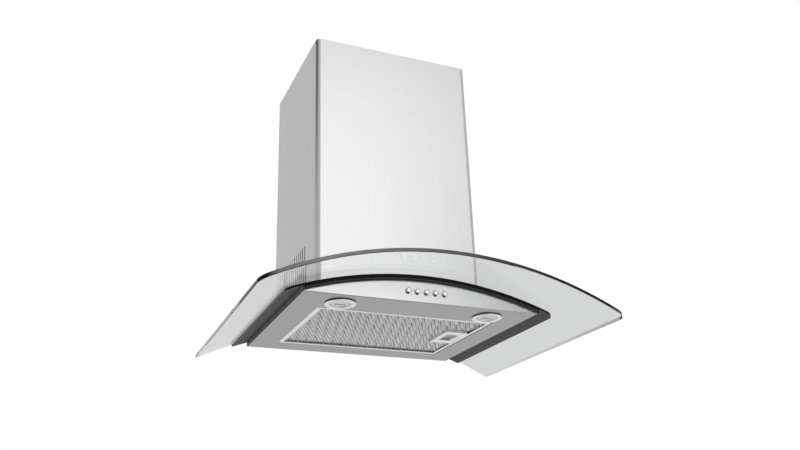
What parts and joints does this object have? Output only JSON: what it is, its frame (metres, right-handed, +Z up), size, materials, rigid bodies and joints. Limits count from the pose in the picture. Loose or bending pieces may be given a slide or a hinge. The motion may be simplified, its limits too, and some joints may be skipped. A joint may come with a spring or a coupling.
{
  "type": "range hood",
  "caption": "Wall-mounted cooker hood with a bent glass canopy over a slim brushed-steel tray, telescopic chimney, push buttons, two lamps and a drop-down mesh grease filter.",
  "frame": {"origin": "middle of the four wall-screw holes, on the wall plane at the back of the hood, 180 mm above the tray's underside", "axes": "+X to the right seen from the front, +Y towards the wall, +Z up"},
  "size_m": [0.6, 0.46, 0.5586],
  "materials": {
    "brushed_steel": "fine horizontal brushing, satin",
    "plain_steel": "plain zinc-plated sheet, dull",
    "canopy_glass": "clear bent toughened glass, ground edges",
    "seal_rubber": "black moulded rubber, satin",
    "plated_fasteners": "bright zinc plating",
    "blower_plastic": "black moulded, fine grain",
    "galvanised_steel": "galvanised sheet, soft spangle",
    "motor_case": "grey enamel",
    "capacitor_can": "drawn aluminium can",
    "terminal_plastic": "off-white moulded",
    "switch_plastic": "black moulded",
    "button_chrome": "polished chrome domes",
    "lamp_trim": "satin nickel",
    "lamp_glass": "clear lamp glass",
    "lamp_reflector": "bright dished reflector",
    "transformer_plastic": "off-white case",
    "filter_aluminium": "bright rolled frame",
    "filter_mesh": "expanded aluminium mesh",
    "latch_plastic": "light grey moulded",
    "latch_grey": "mid grey moulded",
    "spring_steel": "blued leaf"
  },
  "bodies": {
    "hood": {"canopy_tray": "brushed_steel", "canopy_lid": "plain_steel", "glass_canopy": "canopy_glass", "glass_seal": "seal_rubber", "throat_gasket": "seal_rubber", "clamp_pad": "seal_rubber", "clamp_screws": "plated_fasteners", "clamp_nuts": "plated_fasteners", "chimney_cover": "brushed_steel", "chimney_tabs": "plain_steel", "chimney_screws": "plated_fasteners", "blower_frame": "plain_steel", "blower_scroll": "galvanised_steel", "blower_side_left": "galvanised_steel", "blower_side_right": "galvanised_steel", "blower_ears": "galvanised_steel", "blower_screws": "plated_fasteners", "motor": "motor_case", "motor_bracket": "plain_steel", "outlet_collar": "blower_plastic", "flap_pin": "plated_fasteners", "capacitor": "capacitor_can", "terminal_box": "terminal_plastic", "cable_gland": "terminal_plastic", "switch_block": "switch_plastic", "lamp_ring_left": "lamp_trim", "lamp_ring_right": "lamp_trim", "lamp_lens_left": "lamp_glass", "lamp_lens_right": "lamp_glass", "lamp_reflector_left": "lamp_reflector", "lamp_reflector_right": "lamp_reflector", "lamp_bulb_left": "lamp_glass", "lamp_bulb_right": "lamp_glass", "lamp_transformer": "transformer_plastic", "filter_rails": "plain_steel"},
    "telescopic_section": {"inner_chimney": "brushed_steel", "upper_bracket": "plain_steel", "bracket_screws": "plated_fasteners"},
    "wheel": {"wheel_disc": "galvanised_steel", "wheel_rings": "galvanised_steel", "wheel_blades": "galvanised_steel", "motor_shaft": "plated_fasteners"},
    "left_flap": {"flap_left": "blower_plastic"},
    "right_flap": {"flap_right": "blower_plastic"},
    "grease_filter": {"filter_frame": "filter_aluminium", "filter_mesh_lower": "filter_mesh", "filter_core": "filter_mesh", "filter_mesh_upper": "filter_mesh", "latch_housing": "latch_plastic", "latch_spring": "spring_steel"},
    "filter_latch": {"latch_slider": "latch_grey"},
    "light_button": {"button_light": "button_chrome"},
    "stop_button": {"button_stop": "button_chrome"},
    "slow_button": {"button_slow": "button_chrome"},
    "medium_button": {"button_medium": "button_chrome"},
    "fast_button": {"button_fast": "button_chrome"}
  },
  "joints": [
    {"name": "chimney_extend", "type": "slide", "parent": "hood", "child": "telescopic_section", "axis": [0, 0, 1], "range_m": [0, 0.3]},
    {"name": "wheel_spin", "type": "hinge", "parent": "hood", "child": "wheel", "pos_m": [0, -0.127, -0.008], "axis": [1, 0, 0], "continuous": true},
    {"name": "left_flap_lift", "type": "hinge", "parent": "hood", "child": "left_flap", "pos_m": [0, -0.0745, 0.11], "axis": [0, 1, 0], "range_deg": [0, 75]},
    {"name": "right_flap_lift", "type": "hinge", "parent": "hood", "child": "right_flap", "pos_m": [0, -0.0745, 0.11], "axis": [0, -1, 0], "range_deg": [0, 75]},
    {"name": "filter_swing", "type": "hinge", "parent": "hood", "child": "grease_filter", "pos_m": [-0.159, -0.1625, -0.18], "axis": [0, 1, 0], "range_deg": [0, 80]},
    {"name": "latch_slide", "type": "slide", "parent": "grease_filter", "child": "filter_latch", "axis": [-1, 0, 0], "range_m": [0, 0.005], "stiffness_N_per_m": 300, "springref_m": -0.002, "deforming": ["latch_spring"]},
    {"name": "light_press", "type": "slide", "parent": "hood", "child": "light_button", "axis": [0, 1, 0], "range_m": [0, 0.0025], "stiffness_N_per_m": 400, "springref_m": -0.0015},
    {"name": "stop_press", "type": "slide", "parent": "hood", "child": "stop_button", "axis": [0, 1, 0], "range_m": [0, 0.0025], "stiffness_N_per_m": 400, "springref_m": -0.0015},
    {"name": "slow_press", "type": "slide", "parent": "hood", "child": "slow_button", "axis": [0, 1, 0], "range_m": [0, 0.0025], "stiffness_N_per_m": 400, "springref_m": -0.0015},
    {"name": "medium_press", "type": "slide", "parent": "hood", "child": "medium_button", "axis": [0, 1, 0], "range_m": [0, 0.0025], "stiffness_N_per_m": 400, "springref_m": -0.0015},
    {"name": "fast_press", "type": "slide", "parent": "hood", "child": "fast_button", "axis": [0, 1, 0], "range_m": [0, 0.0025], "stiffness_N_per_m": 400, "springref_m": -0.0015}
  ]
}
